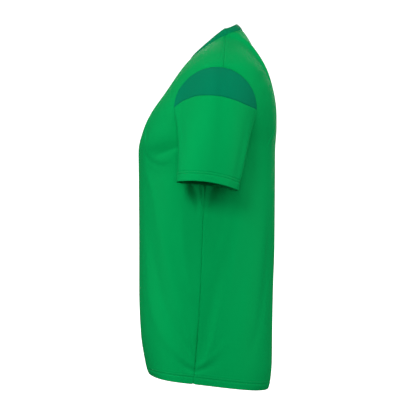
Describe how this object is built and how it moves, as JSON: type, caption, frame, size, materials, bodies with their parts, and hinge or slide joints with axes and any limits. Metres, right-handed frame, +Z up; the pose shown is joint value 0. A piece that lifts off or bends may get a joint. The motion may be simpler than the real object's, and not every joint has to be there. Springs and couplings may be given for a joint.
{
  "type": "football jersey",
  "caption": "Short-sleeved football jersey with a V neckband and contrast shoulder caps, filled out as worn and hollow, with open neck, cuffs and hem.",
  "frame": {"origin": "centre of the neck opening, level with the neck ends of the shoulder seams, where the wearer holds the jersey up", "axes": "+Z up, -Y the front, +X the wearer's left"},
  "size_m": [0.584, 0.276, 0.7213],
  "materials": {
    "body_knit": "fine polyester knit with a soft sheen",
    "contrast_knit": "fine polyester knit, dull",
    "neck_rib": "doubled fine rib"
  },
  "bodies": {
    "root": {"front_panel": "body_knit", "back_panel": "body_knit", "sleeve_left": "body_knit", "sleeve_right": "body_knit", "shoulder_cap_left": "contrast_knit", "shoulder_cap_right": "contrast_knit", "neckband": "neck_rib"}
  },
  "joints": []
}
